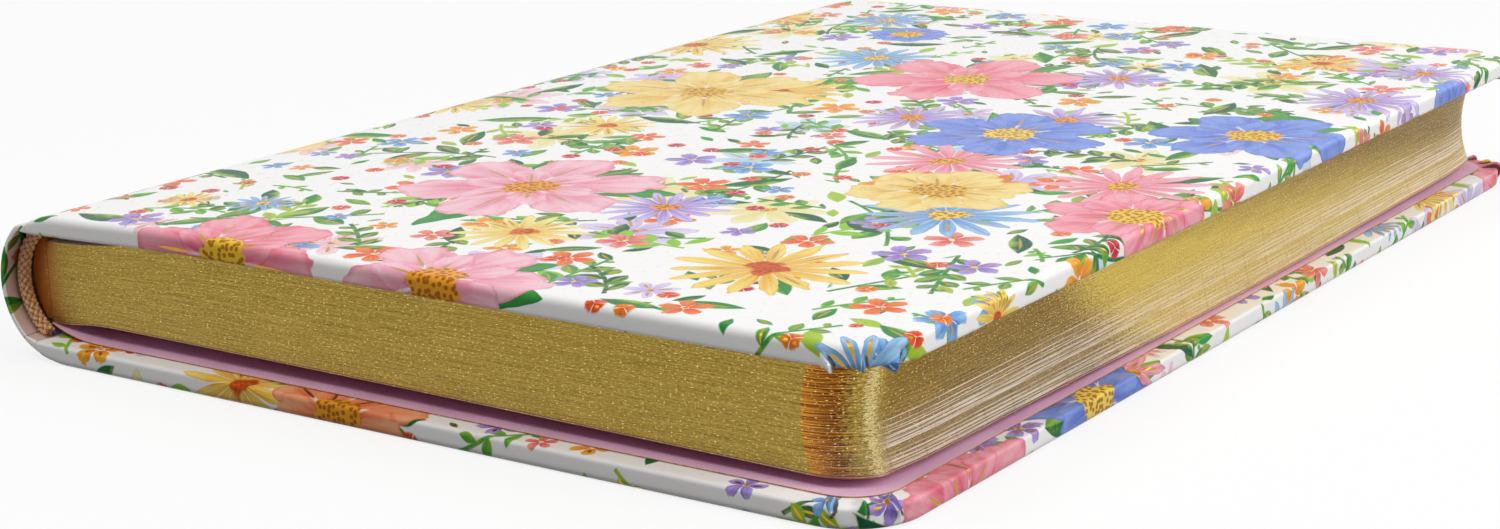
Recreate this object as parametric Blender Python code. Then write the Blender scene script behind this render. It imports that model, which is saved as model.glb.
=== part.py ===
"""Case-bound lined notebook: a sewn block of sections in a round-backed hard case.

Metres, +Z up. The notebook lies shut on its back cover. +X runs from the spine to the fore-edge,
+Y from the tail to the head, and the origin is under the middle of the closed book.
"""

import math

import bmesh
import bpy

MM = 0.001

# The closed book
HEIGHT = 210.0 * MM
DEPTH = 145.4 * MM
THICK = 22.2 * MM

# The case
BOARD_T = 2.5 * MM
PAPER_T = 0.15 * MM
CARD_T = 0.4 * MM
GLUE = 0.05 * MM  # between two faces that are glued
CORNER_R = 9.5 * MM
OUTER_EDGE_R = 1.0 * MM
INNER_EDGE_R = 0.5 * MM
TURN_IN = 15.0 * MM
ROUND_D = 11.8 * MM  # depth of the rounded back, spine to the flat of the boards
BOARD_SETBACK = 6.7 * MM  # spine to the boards' spine edge

# The joints that the case opens on
JOINT_Z = 4.4 * MM  # above the outside of its own cover
FLOOR_CLEAR = 0.1 * MM  # under the rounded back when the case lies open
LEAF_CLEAR = 0.6 * MM  # joint axis to the folds of the leaves
SPINE_CLEAR = 0.4 * MM  # joint axis to the edge of the spine's cover

# The endpapers
ENDPAPER_T = 0.15 * MM
PASTE_MARGIN = 3.2 * MM
PASTE_INSET = 0.3 * MM  # boards' spine edge to the edge of the paste-down

# The text block
SECTIONS = 12
LEAF_GAP = 0.1 * MM
LIFT = 1.25 * MM  # open space under the block
SQUARE = 4.6 * MM  # how far the boards stand past the head and tail
FORE_SQUARE = 4.1 * MM
HOLLOW = 1.4 * MM  # depth of the hollow fore-edge
PAGE_R = 8.2 * MM

# The back of the block
LINER_GAP = 0.1 * MM
MULL_T = 0.25 * MM
MULL_SHORT = 12.0 * MM  # how far the mull stops from the head and tail of the block
THREAD_D = 0.3 * MM
STITCHES = 5
BAND_D = 2.3 * MM
BAND_SIT = 0.65 * MM  # clear of the ends of the block

COVER_T = BOARD_T + 2.0 * PAPER_T + 2.0 * GLUE
WALL_T = CARD_T + 2.0 * PAPER_T + 2.0 * GLUE
SPINE_X = -0.5 * DEPTH
FORE_X = 0.5 * DEPTH
HALF = 0.5 * HEIGHT
ROUND_X = SPINE_X + ROUND_D
ROUND_H = 0.5 * THICK
BOARD_X = SPINE_X + BOARD_SETBACK
PAPER_X = BOARD_X - 0.08 * BOARD_SETBACK
AXIS_X = SPINE_X + JOINT_Z - FLOOR_CLEAR
LEAF_X = AXIS_X + LEAF_CLEAR
BLOCK_HALF = HALF - SQUARE
PAGE_X = FORE_X - FORE_SQUARE
BACK_LEAF_Z = COVER_T + GLUE + ENDPAPER_T + LIFT
BLOCK_Z0 = BACK_LEAF_Z + ENDPAPER_T + LEAF_GAP
FRONT_LEAF_Z = THICK - COVER_T - GLUE - 2.0 * ENDPAPER_T - LEAF_GAP
BLOCK_Z1 = FRONT_LEAF_Z - LEAF_GAP
PITCH = (BLOCK_Z1 - BLOCK_Z0 + LEAF_GAP) / SECTIONS


def collection(name):
    """A collection linked to the scene."""
    made = bpy.data.collections.new(name)
    bpy.context.scene.collection.children.link(made)
    return made


def material(name, colour, rough, metal=0.0):
    """A plain Principled material."""
    made = bpy.data.materials.new(name)
    made.use_nodes = True
    shader = made.node_tree.nodes["Principled BSDF"]
    shader.inputs["Base Color"].default_value = (*colour, 1.0)
    shader.inputs["Roughness"].default_value = rough
    shader.inputs["Metallic"].default_value = metal
    return made


def add(name, mesh, group, look=None):
    """An object for a mesh, in a collection."""
    made = bpy.data.objects.new(name, mesh)
    group.objects.link(made)
    if look:
        made.data.materials.clear()
        made.data.materials.append(look)
    return made


def place_origin(thing, x, z):
    """Moves an object's origin to its joint axis and leaves the shape where it is."""
    for vertex in thing.data.vertices:
        vertex.co.x -= x
        vertex.co.z -= z
    thing.location = (x, 0.0, z)


def arc(centre, radius, start, end, steps):
    """Points on an arc, with its angles in degrees."""
    points = []
    for i in range(steps + 1):
        angle = math.radians(start + (end - start) * i / steps)
        points.append((centre[0] + radius * math.cos(angle), centre[1] + radius * math.sin(angle)))
    return points


def plan(spine_x, fore_x, half, radius, steps=8):
    """A sheet's outline from above: square at the spine, rounded at the two fore-edge corners."""
    outline = [(spine_x, -half)]
    outline += arc((fore_x - radius, radius - half), radius, -90.0, 0.0, steps)
    outline += arc((fore_x - radius, half - radius), radius, 0.0, 90.0, steps)
    outline.append((spine_x, half))
    return outline


def flat_mesh(name, outline, thickness):
    """A filled 2D curve with a thickness, as a welded mesh about its own middle plane."""
    curve = bpy.data.curves.new(name, "CURVE")
    curve.dimensions = "2D"
    curve.fill_mode = "BOTH"
    curve.extrude = 0.5 * thickness
    spline = curve.splines.new("POLY")
    spline.points.add(len(outline) - 1)
    for point, (u, v) in zip(spline.points, outline):
        point.co = (u, v, 0.0, 1.0)
    spline.use_cyclic_u = True
    return curve_mesh(name, curve)


def curve_mesh(name, curve):
    """A curve turned into a closed mesh."""
    holder = bpy.data.objects.new(name + "_curve", curve)
    bpy.context.scene.collection.objects.link(holder)
    bpy.context.view_layer.update()
    graph = bpy.context.evaluated_depsgraph_get()
    mesh = bpy.data.meshes.new_from_object(holder.evaluated_get(graph))
    bpy.data.objects.remove(holder)
    shape = bmesh.new()
    shape.from_mesh(mesh)
    bmesh.ops.remove_doubles(shape, verts=shape.verts, dist=1e-6)
    bmesh.ops.recalc_face_normals(shape, faces=shape.faces)
    shape.to_mesh(mesh)
    shape.free()
    mesh.name = name
    return mesh


def sheet(name, outline, z0, z1):
    """A flat sheet between two heights."""
    mesh = flat_mesh(name, outline, z1 - z0)
    for vertex in mesh.vertices:
        vertex.co.z += 0.5 * (z0 + z1)
    return mesh


def bar(name, profile, y0, y1):
    """A profile in X and Z, drawn out along Y."""
    mesh = flat_mesh(name, [(x, -z) for x, z in profile], y1 - y0)
    for vertex in mesh.vertices:
        x, v, w = vertex.co
        vertex.co = (x, w + 0.5 * (y0 + y1), -v)
    shape = bmesh.new()
    shape.from_mesh(mesh)
    bmesh.ops.recalc_face_normals(shape, faces=shape.faces)
    shape.to_mesh(mesh)
    shape.free()
    return mesh


def loft(name, rings):
    """A solid through a stack of outlines with equal numbers of points."""
    shape = bmesh.new()
    rows = [[shape.verts.new(point) for point in ring] for ring in rings]
    count = len(rings[0])
    for low, high in zip(rows, rows[1:]):
        for i in range(count):
            j = (i + 1) % count
            shape.faces.new((low[i], low[j], high[j], high[i]))
    shape.faces.new(rows[0])
    shape.faces.new(rows[-1])
    bmesh.ops.recalc_face_normals(shape, faces=shape.faces)
    mesh = bpy.data.meshes.new(name)
    shape.to_mesh(mesh)
    shape.free()
    return mesh


def boolean(thing, cutter):
    """Cuts one object out of another."""
    cut = thing.modifiers.new(cutter.name, "BOOLEAN")
    cut.operation = "DIFFERENCE"
    cut.solver = "EXACT"
    cut.object = cutter
    cutter.hide_render = True
    cutter.display_type = "WIRE"


def round_x(height, inset=0.0):
    """Where the rounded back's outside, or a curve inside it, lies at a height."""
    share = (height - ROUND_H) / (ROUND_H - inset)
    return ROUND_X - (ROUND_D - inset) * math.sqrt(max(0.0, 1.0 - share * share))


def round_curve(inset, limit_x, steps=28):
    """Points down the rounded back at a depth inside it, as far as it lies behind limit_x."""
    wide = ROUND_D - inset
    tall = ROUND_H - inset
    reach = math.acos(min(1.0, (ROUND_X - limit_x) / wide))
    points = []
    for i in range(steps + 1):
        angle = reach * (1.0 - 2.0 * i / steps)
        points.append((ROUND_X - wide * math.cos(angle), ROUND_H + tall * math.sin(angle)))
    return points


def cover_levels(inset, low, high, inner_r, outer_r, spine_x, ease):
    """Heights, edge insets and spine edges of a cover slab, from its inside face outwards."""
    levels = []
    for angle in (90.0, 60.0, 30.0, 0.0):
        turn = math.radians(angle)
        levels.append((low + inner_r * (1.0 - math.sin(turn)), inset + inner_r * (1.0 - math.cos(turn))))
    for angle in (-8.0, 0.0, 30.0, 60.0, 90.0):
        turn = math.radians(max(angle, 0.0))
        drop = 0.3 * outer_r if angle < 0.0 else 0.0
        height = high - outer_r * (1.0 - math.sin(turn)) - drop
        levels.append((height, inset + outer_r * (1.0 - math.cos(turn))))
    made = []
    for height, edge in levels:
        above = THICK - COVER_T + height
        made.append((above, edge, max(spine_x, round_x(above, ease))))
    return made


def cover_slab(name, inset, low, high, inner_r, outer_r, spine_x, front):
    """A cover-shaped slab with soft edges. The back cover is the front one turned over."""
    rings = []
    for height, edge, x in cover_levels(inset, low, high, inner_r, outer_r, spine_x, inset):
        z = height if front else THICK - height
        outline = plan(x, FORE_X - edge, HALF - edge, CORNER_R - edge)
        rings.append([(u, v, z) for u, v in outline])
    return loft(name, rings)


def cover(side, front, parts, cutters, looks):
    """A board, the printed paper round it with its turn-ins, and the paste-down over them."""
    skin = PAPER_T
    slack = PAPER_T + GLUE
    mesh = cover_slab(side + "_board", slack, slack, COVER_T - slack, INNER_EDGE_R - slack,
                      OUTER_EDGE_R - slack, BOARD_X, front)
    board = add(side + "_board", mesh, parts, looks["board"])

    mesh = cover_slab(side + "_cover_paper", 0.0, 0.0, COVER_T, INNER_EDGE_R, OUTER_EDGE_R, PAPER_X, front)
    paper = add(side + "_cover_paper", mesh, parts, looks["print"])
    mesh = cover_slab(side + "_hollow", skin, skin, COVER_T - skin, INNER_EDGE_R - skin,
                      OUTER_EDGE_R - skin, PAPER_X - BOARD_SETBACK, front)
    boolean(paper, add(side + "_hollow", mesh, cutters))
    outline = plan(PAPER_X - BOARD_SETBACK, FORE_X - TURN_IN, HALF - TURN_IN, 0.4 * CORNER_R)
    z0 = THICK - COVER_T - BOARD_T if front else COVER_T - 2.0 * PAPER_T
    z1 = THICK - COVER_T + 2.0 * PAPER_T if front else COVER_T + BOARD_T
    boolean(paper, add(side + "_window", sheet(side + "_window", outline, z0, z1), cutters))

    outline = plan(BOARD_X + PASTE_INSET, FORE_X - PASTE_MARGIN, HALF - PASTE_MARGIN, CORNER_R - PASTE_MARGIN)
    z0 = THICK - COVER_T - GLUE - ENDPAPER_T if front else COVER_T + GLUE
    mesh = sheet(side + "_pastedown", outline, z0, z0 + ENDPAPER_T)
    paste = add(side + "_pastedown", mesh, parts, looks["endpaper"])
    if front:
        for thing in (board, paper, paste):
            place_origin(thing, AXIS_X, THICK - JOINT_Z)


def spine(parts, cutters, looks):
    """The curved card of the spine in its printed paper, turned in at the head and tail."""
    limit = AXIS_X - SPINE_CLEAR
    deep = limit + BOARD_SETBACK
    outside = round_curve(0.0, limit)
    inside = round_curve(WALL_T, limit)
    mesh = bar("spine_cover_paper", outside + inside[::-1], -HALF, HALF)
    paper = add("spine_cover_paper", mesh, parts, looks["print"])
    slot = round_curve(PAPER_T, deep) + round_curve(WALL_T - PAPER_T, deep)[::-1]
    mesh = bar("spine_slot", slot, PAPER_T - HALF, HALF - PAPER_T)
    boolean(paper, add("spine_slot", mesh, cutters))
    window = round_curve(WALL_T - 2.0 * PAPER_T, deep) + round_curve(3.0 * WALL_T, deep)[::-1]
    mesh = bar("spine_window", window, TURN_IN - HALF, HALF - TURN_IN)
    boolean(paper, add("spine_window", mesh, cutters))

    skin = PAPER_T + GLUE
    profile = round_curve(skin, limit) + round_curve(skin + CARD_T, limit)[::-1]
    mesh = bar("spine_card", profile, skin - HALF, HALF - skin)
    card = add("spine_card", mesh, parts, looks["card"])
    for thing in (paper, card):
        place_origin(thing, AXIS_X, JOINT_Z)


def block_back(parts, looks):
    """The glued folds of the sections, the thread over them and the mull that lines them."""
    limit = AXIS_X - LINER_GAP
    mull_in = WALL_T + LINER_GAP
    thread_in = mull_in + MULL_T + LINER_GAP
    back_in = thread_in + THREAD_D + LINER_GAP

    mesh = bar("glued_folds", round_curve(back_in, limit), -BLOCK_HALF, BLOCK_HALF)
    folds = add("glued_folds", mesh, parts, looks["folds"])

    long = BLOCK_HALF - MULL_SHORT
    profile = round_curve(mull_in, limit) + round_curve(mull_in + MULL_T, limit)[::-1]
    mull = add("mull", bar("mull", profile, -long, long), parts, looks["mull"])

    run = round_curve(thread_in + 0.5 * THREAD_D, limit, 12)[1:-1]
    path = []
    for i in range(STITCHES):
        y = long * (2.0 * (i + 0.5) / STITCHES - 1.0)
        path += [(x, y, z) for x, z in (run if i % 2 else run[::-1])]
    thread = add("sewing_thread", cord("sewing_thread", path, THREAD_D, 1), parts, looks["thread"])

    for thing in (folds, mull, thread):
        place_origin(thing, AXIS_X, JOINT_Z)
    for side, sign in (("head", 1.0), ("tail", -1.0)):
        centre = WALL_T + LINER_GAP + 0.5 * BAND_D
        y = sign * (BLOCK_HALF + BAND_SIT + 0.5 * BAND_D)
        run = round_curve(centre, BOARD_X - 0.25 * BAND_D, 24)
        name = side + "_band"
        path = [(x, y, z) for x, z in run]
        band = add(name, cord(name, path, BAND_D, 4), parts, looks["band"])
        place_origin(band, AXIS_X, JOINT_Z)


def cord(name, path, thickness, rounds):
    """A round cord along a path, with closed ends."""
    curve = bpy.data.curves.new(name, "CURVE")
    curve.dimensions = "3D"
    curve.bevel_depth = 0.5 * thickness
    curve.bevel_resolution = rounds
    curve.use_fill_caps = True
    spline = curve.splines.new("POLY")
    spline.points.add(len(path) - 1)
    for point, place in zip(spline.points, path):
        point.co = (*place, 1.0)
    return curve_mesh(name, curve)


def fore_edge(height):
    """Where the hollow fore-edge of the block lies at a height."""
    share = 2.0 * (height - BLOCK_Z0) / (BLOCK_Z1 - BLOCK_Z0) - 1.0
    return PAGE_X - HOLLOW * max(0.0, 1.0 - share * share)


def block(parts, looks):
    """The sections, and the free leaf of the endpaper on each side of them."""
    for side, z0 in (("back", BACK_LEAF_Z), ("front", FRONT_LEAF_Z)):
        name = side + "_flyleaf"
        mesh = sheet(name, plan(LEAF_X, PAGE_X, BLOCK_HALF, PAGE_R), z0, z0 + ENDPAPER_T)
        place_origin(add(name, mesh, parts, looks["endpaper"]), LEAF_X, z0)
    for i in range(SECTIONS):
        name = f"section_{SECTIONS - i:02d}"
        z0 = BLOCK_Z0 + i * PITCH
        rings = []
        for share in (0.0, 0.5, 1.0):
            z = z0 + share * (PITCH - LEAF_GAP)
            outline = plan(LEAF_X, fore_edge(z), BLOCK_HALF, PAGE_R)
            rings.append([(x, y, z) for x, y in outline])
        place_origin(add(name, loft(name, rings), parts, looks["pages"]), LEAF_X, z0)


def build():
    for thing in list(bpy.data.objects):
        bpy.data.objects.remove(thing)
    parts = collection("lined_notebook")
    cutters = collection("cutters")
    looks = {
        "board": material("grey board", (0.36, 0.34, 0.31), 0.9),
        "card": material("spine card", (0.45, 0.41, 0.34), 0.9),
        "print": material("printed cover paper", (0.86, 0.82, 0.84), 0.35),
        "endpaper": material("lilac endpaper", (0.74, 0.53, 0.66), 0.7),
        "pages": material("gilt-edged paper", (0.62, 0.47, 0.16), 0.5),
        "folds": material("glued paper folds", (0.42, 0.27, 0.08), 0.6),
        "mull": material("open-weave mull", (0.8, 0.77, 0.68), 0.9),
        "thread": material("linen thread", (0.85, 0.82, 0.74), 0.8),
        "band": material("braided cotton band", (0.62, 0.38, 0.2), 0.85),
    }
    cover("back", False, parts, cutters, looks)
    cover("front", True, parts, cutters, looks)
    spine(parts, cutters, looks)
    block_back(parts, looks)
    block(parts, looks)


build()
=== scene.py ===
import functools
import math
import random

import bpy
from mathutils import Matrix, Vector


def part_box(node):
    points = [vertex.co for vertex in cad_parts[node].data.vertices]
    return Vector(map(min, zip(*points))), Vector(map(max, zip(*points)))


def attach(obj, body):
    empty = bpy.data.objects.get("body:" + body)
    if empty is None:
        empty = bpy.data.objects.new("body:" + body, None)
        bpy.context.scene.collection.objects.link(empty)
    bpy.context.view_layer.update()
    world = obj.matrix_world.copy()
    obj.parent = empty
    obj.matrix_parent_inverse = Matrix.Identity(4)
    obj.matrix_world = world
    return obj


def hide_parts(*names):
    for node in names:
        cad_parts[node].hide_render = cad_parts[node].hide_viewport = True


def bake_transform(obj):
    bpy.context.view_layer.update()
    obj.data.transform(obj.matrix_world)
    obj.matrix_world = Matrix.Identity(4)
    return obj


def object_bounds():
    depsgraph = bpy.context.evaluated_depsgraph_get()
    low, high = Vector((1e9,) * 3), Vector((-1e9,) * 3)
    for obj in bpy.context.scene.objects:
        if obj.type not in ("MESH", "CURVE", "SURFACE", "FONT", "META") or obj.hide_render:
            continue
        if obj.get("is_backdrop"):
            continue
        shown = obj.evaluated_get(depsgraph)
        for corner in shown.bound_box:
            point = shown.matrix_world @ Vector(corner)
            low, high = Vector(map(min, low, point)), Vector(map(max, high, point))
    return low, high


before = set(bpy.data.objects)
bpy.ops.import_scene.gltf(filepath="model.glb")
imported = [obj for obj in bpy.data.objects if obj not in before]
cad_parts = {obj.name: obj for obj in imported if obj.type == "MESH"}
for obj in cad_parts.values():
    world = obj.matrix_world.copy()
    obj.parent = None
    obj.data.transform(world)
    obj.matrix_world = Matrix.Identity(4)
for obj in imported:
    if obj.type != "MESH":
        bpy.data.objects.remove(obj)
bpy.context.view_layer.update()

# Text block: twelve sewn sections of writing paper, trimmed together, rounded at the fore-edge corners
# and gilt on three edges. Each section is shown as its leaves, with the small steps the trimming leaves.
MM = 0.001
PRINT_UNIT = 100.0 * MM  # length of one unit of every drawn UV map
SECTIONS = 12
LEAVES = 8
LEAF_AIR = 0.006 * MM
SWELL = 0.07 * MM  # spreads the leaves over the gaps between the sections
TRIM_STEP = 0.035 * MM
PAGE_CORNER = 8.2 * MM
FORE_HOLLOW = 1.4 * MM
CORNER_STEPS = 12
CORNER_TURN = math.radians(63.0)  # the cornering knife leaves a ridge where it meets the fore-edge
CORNER_EASE = 13.0 * MM
EASE_STEPS = 6
FLAT_STEPS = 8
ACROSS_STEPS = 8
SAG = 0.95 * MM  # how far the lowest leaf hangs at its fore-edge
SAG_HEIGHT = 5.0 * MM
HELD = 0.88 * MM  # how far it is held up beyond its fold
HELD_HEIGHT = 8.0 * MM
HELD_START = 11.0 * MM
PRESS = 2.5 * MM  # how far the top leaf is pressed down at its fold
PRESS_LENGTH = 32.0 * MM
PRESS_STEPS = 8
BARE_FROM = 0.45  # how far down the block bare leaf edges start, as a share
BARE_CHANCE = 0.9
BARE_ENDS = (10.0 * MM, 80.0 * MM)  # off the fore-edge's middle, where bare edges show by half and in full
REFLECTION_RAGGED = 30.0 * MM  # how far the grain shifts the ends of the bright stretch of painted reflection
REFLECTION_START = (-18.0 * MM, -6.0 * MM)  # along the fore-edge, at the foot of the block
REFLECTION_START_LEAN = 1.4
REFLECTION_STOP = (150.0 * MM, 235.0 * MM)
REFLECTION_STOP_LEAN = 11.0
BROWN_REACH = 4.0 * MM  # how far the brown runs in past the folds
RULE_SPACING = 7.0 * MM
RULE_FADE = (0.02, 0.028)  # off a line's middle, where it starts to fade and ends, as shares of the spacing
HEAD_MARGIN = 17.0 * MM
block_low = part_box("section_12")[0]
block_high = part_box("section_01")[1]
block_t = block_high.z - block_low.z
page_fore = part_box("front_flyleaf")[1].x


def linear(hex_colour):
    """An sRGB hex colour as linear RGBA."""
    values = []
    for i in (1, 3, 5):
        share = int(hex_colour[i:i + 2], 16) / 255.0
        values.append(share / 12.92 if share <= 0.04045 else ((share + 0.055) / 1.055) ** 2.4)
    return (*values, 1.0)


def feed(tree, socket, value):
    """Fills a socket. A node or socket links, a hex colour turns linear, and None changes nothing."""
    if isinstance(value, bpy.types.Node):
        value = next(output for output in value.outputs if output.enabled)
    if isinstance(value, bpy.types.NodeSocket):
        tree.links.new(value, socket)
    elif isinstance(value, str):
        socket.default_value = linear(value)
    elif value is not None:
        socket.default_value = value


def node(tree, kind, *inputs, **settings):
    """Adds a node. A second word of its kind is its operation, or a Mix's data type. Inputs fill its usable
    sockets in order."""
    kind, _, mode = kind.partition(" ")
    made = tree.nodes.new("ShaderNode" + kind)
    if mode:
        setattr(made, "data_type" if kind == "Mix" else "operation", mode)
    for name, value in settings.items():
        if name == "stops":
            stops = made.color_ramp.elements
            for spare in list(stops)[1:]:
                stops.remove(spare)
            for i, (place, colour) in enumerate(value):
                stop = stops.new(place) if i else stops[0]
                stop.position = place
                stop.color = linear(colour)
        elif name == "blending":
            made.color_ramp.interpolation = value
        else:
            setattr(made, name, value)
    for socket, value in zip([socket for socket in made.inputs if socket.enabled], inputs):
        feed(tree, socket, value)
    return made


def surface(name):
    """A new material, and the function that adds its nodes."""
    made = bpy.data.materials.new(name)
    made.use_nodes = True
    return made, functools.partial(node, made.node_tree)


def coat(made, looks):
    """Gives a material's shader what belongs on its named sockets."""
    tree = made.node_tree
    for name, value in looks.items():
        feed(tree, tree.nodes["Principled BSDF"].inputs[name], value)
    return made


def shape(name, points, faces, looks, slots=None, uv=None, uv_name="edge", marks=None, sharp=35.0):
    """A mesh object, with a material per face, a UV per point and named values per point."""
    mesh = bpy.data.meshes.new(name)
    mesh.from_pydata(points, [], faces)
    for look in looks:
        mesh.materials.append(look)
    if slots:
        mesh.polygons.foreach_set("material_index", slots)
    if uv:
        layer = mesh.uv_layers.new(name=uv_name)
        for loop in mesh.loops:
            layer.data[loop.index].uv = uv[loop.vertex_index]
    for mark, values in (marks or {}).items():
        mesh.attributes.new(mark, "FLOAT", "POINT").data.foreach_set("value", values)
    mesh.shade_smooth()
    mesh.set_sharp_from_angle(angle=math.radians(sharp))
    made = bpy.data.objects.new(name, mesh)
    bpy.context.scene.collection.objects.link(made)
    return made


def eased(share):
    """A share from 0 to 1 that starts and stops gently."""
    return share * share * (3.0 - 2.0 * share)


def fore_edge(z):
    """Where the hollow fore-edge lies at a height."""
    share = 2.0 * (z - block_low.z) / block_t - 1.0
    return page_fore - FORE_HOLLOW * max(0.0, 1.0 - share * share)


def page_stations(spine_x, fore_x, half):
    """A leaf from its fold to its fore-edge, cut across: X, half the length there, and the share of the worn
    corner, which is 0 before it, 1 on the ridge the knife left and 2 along the fore-edge."""
    stations = [(spine_x + PRESS_LENGTH * i / PRESS_STEPS, half, 0.0) for i in range(PRESS_STEPS + 1)]
    from_x, to_x = stations[-1][0], fore_x - PAGE_CORNER
    stations += [(from_x + (to_x - from_x) * i / FLAT_STEPS, half, 0.0) for i in range(1, FLAT_STEPS)]
    for i in range(CORNER_STEPS + 1):
        turn = CORNER_TURN * i / CORNER_STEPS
        inset = PAGE_CORNER * (1.0 - math.sin(turn))
        rise = PAGE_CORNER * (1.0 - math.cos(turn))
        stations.append((fore_x - inset, half - rise, i / CORNER_STEPS))
    for i in range(1, EASE_STEPS + 1):
        share = i / EASE_STEPS
        reach = half - rise - CORNER_EASE * share
        stations.append((fore_x - inset * (1.0 - share) ** 2, reach, 1.0 + share))
    return stations


def settle(x, y, z):
    """How far a leaf lies below its even place. The lowest hang between the ends of their fore-edge and are
    held up towards their folds, and the upper ones are pressed down beside the front joint."""
    above = z - block_low.z
    away = max(0.0, x - block_low.x)
    hang = SAG * max(0.0, 1.0 - above / SAG_HEIGHT) * max(0.0, x / block_high.x) ** 2
    hang *= math.cos(0.5 * math.pi * y / block_high.y) ** 2
    held = HELD * max(0.0, 1.0 - above / HELD_HEIGHT) ** 2 * eased(min(1.0, away / HELD_START))
    held *= 1.0 - (away / (page_fore - block_low.x)) ** 2
    high = max(0.0, above / block_t)
    return hang - held + PRESS * high * high * eased(max(0.0, 1.0 - away / PRESS_LENGTH))


def gilt_edge():
    """Gilt paper edge: foil on cut leaves. It is grainy, with fine lines along the leaves and painted glints.
    Along the fore-edge a reflection is painted in: darker gold with a brighter stretch. The corners are
    worn to amber size, toned partly as a painted reflection, with a painted highlight on the ridge.
    It turns brown towards the spine."""
    made, add = surface("gilt_paper_edge")
    edge = add("UVMap", uv_map="edge")
    per_mm = PRINT_UNIT / MM
    noises = []
    # lumps per millimetre along and across the leaves, detail and roughness: lines, grain, then painted
    # glints
    for along, across, detail, rough in ((0.1, 6.0, 3.0, 0.6), (1.6, 5.0, 3.0, 0.7), (2.2, 6.0, 0.0, 0.5)):
        scaled = add("Mapping", edge, None, None, (along * per_mm, across * per_mm, 1.0))
        noises.append(add("TexNoise", scaled, 1.0, detail, rough, noise_dimensions="2D"))
    lines, grain, glint = noises
    tone = add("Math MULTIPLY_ADD", lines, 0.45, add("Math MULTIPLY", grain, 0.55))
    # gold for the tail and head, then two painted reflections for the fore-edge: darker, and a bright stretch
    golds = []
    for shades in (("#77622A", "#9C8238", "#BBA050"), ("#644D1C", "#846623", "#A98A3E"),
                   ("#AE9138", "#C9AC46", "#DBC162")):
        golds.append(add("ValToRGB", tone, stops=zip((0.32, 0.5, 0.68), shades)))
    plain, dull, bright_reflection = golds

    # painted reflection along the fore-edge: darker gold, with a bright stretch
    corner = add("Attribute", attribute_name="corner").outputs["Fac"]
    place = add("SeparateXYZ", add("TexCoord").outputs["Object"]).outputs
    rough_y = add("Math MULTIPLY_ADD", grain, REFLECTION_RAGGED, place["Y"])
    start = add("Math MULTIPLY_ADD", place["Z"], REFLECTION_START_LEAN, rough_y)
    start = add("MapRange", start, *REFLECTION_START, 0.0, 1.0)
    stop = add("Math MULTIPLY_ADD", place["Z"], REFLECTION_STOP_LEAN, rough_y)
    stop = add("MapRange", stop, *REFLECTION_STOP, 1.0, 0.0)
    fore = add("Math GREATER_THAN", corner, 1.02)
    bright = add("Math MULTIPLY", add("Math MULTIPLY", start, stop), fore)
    turned = add("MapRange", corner, 1.0, 1.25, 0.0, 1.0)
    colour = add("Mix RGBA", turned, plain, dull)
    colour = add("Mix RGBA", bright, colour, bright_reflection)

    # worn corner: amber size, toned partly as a painted reflection, with a painted highlight along the ridge
    bent = add("Math GREATER_THAN", corner, 0.01)
    ragged = add("Math MULTIPLY_ADD", grain, 0.7, -0.35)
    ragged = add("Math ADD", add("Math MULTIPLY", ragged, bent), corner)
    worn = add("Math MULTIPLY", add("MapRange", ragged, 0.5, 0.75, 1.0, 0.0), bent)
    size = add("MapRange", ragged, -0.1, 0.45, 0.11, -0.05)
    streak = add("Math MULTIPLY_ADD", grain, 0.25, size)
    streak = add("Math MULTIPLY_ADD", lines, 0.75, streak)
    amber = add("ValToRGB", streak, stops=[(0.38, "#4A2409"), (0.5, "#8E5319"), (0.64, "#D08E36")])
    colour = add("Mix RGBA", worn, colour, amber)
    # painted highlight along the ridge the knife left
    ridge_highlight = add("ValToRGB", ragged, stops=[(0.84, "#000000"), (0.97, "#FFFFFF"), (1.0, "#000000")])
    colour = add("Mix RGBA", ridge_highlight, colour, "#E6D79C")
    # painted glints: bright specks painted into the foil's colour
    colour = add("Mix RGBA", add("MapRange", glint, 0.76, 0.84, 0.0, 0.9), colour, "#F3DD8C")

    # brown towards the spine, and leaves bare of foil, which aren't metal
    fold_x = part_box("glued_folds")[0].x
    spine_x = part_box("section_07")[0].x
    brown = add("MapRange", place["X"], fold_x, spine_x + BROWN_REACH, 1.0, 0.0,
                interpolation_type="SMOOTHSTEP")
    colour = add("Mix RGBA", brown, colour, "#E08634")
    bare = add("Attribute", attribute_name="bare").outputs["Fac"]
    ends = add("MapRange", add("Math ABSOLUTE", place["Y"]), *BARE_ENDS, 0.5, 1.0)
    bare = add("Math MULTIPLY", bare, ends)
    bare = add("Math MULTIPLY", bare, add("MapRange", lines, 0.35, 0.6, 0.2, 1.0))
    colour = add("Mix RGBA", bare, colour, "#EBDCCB")
    metal = add("Math MULTIPLY_ADD", brown, 0.85, bare)
    metal = add("Math MULTIPLY_ADD", metal, -1.0, 1.0, use_clamp=True)
    rough = add("MapRange", tone, 0.3, 0.7, 0.5, 0.34)
    relief = add("Bump", 0.3, 0.03 * MM, None, tone)
    return coat(made, {"Base Color": colour, "Metallic": metal, "Roughness": rough, "Normal": relief})


def ruled_paper():
    """Uncoated writing paper: warm white with a soft fibre, ruled in pale lilac grey."""
    made, add = surface("ruled_writing_paper")
    place = add("TexCoord").outputs["Object"]
    along = add("SeparateXYZ", place).outputs["Y"]
    line = add("Math FRACT", add("Math MULTIPLY", along, 1.0 / RULE_SPACING))
    line = add("Math ABSOLUTE", add("Math SUBTRACT", line, 0.5))
    line = add("MapRange", line, *RULE_FADE, 0.75, 0.0)
    below = add("Math LESS_THAN", along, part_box("section_07")[1].y - HEAD_MARGIN)
    line = add("Math MULTIPLY", line, below)
    fibre = add("TexNoise", place, 2.0 / MM, 3.0, 0.6)
    colour = add("Mix RGBA", fibre, "#F1EADB", "#FAF6EC")
    colour = add("Mix RGBA", line, colour, "#B9A7BD")
    relief = add("Bump", 0.15, 0.02 * MM, None, fibre)
    return coat(made, {"Base Color": colour, "Roughness": 0.85, "Normal": relief})


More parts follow.
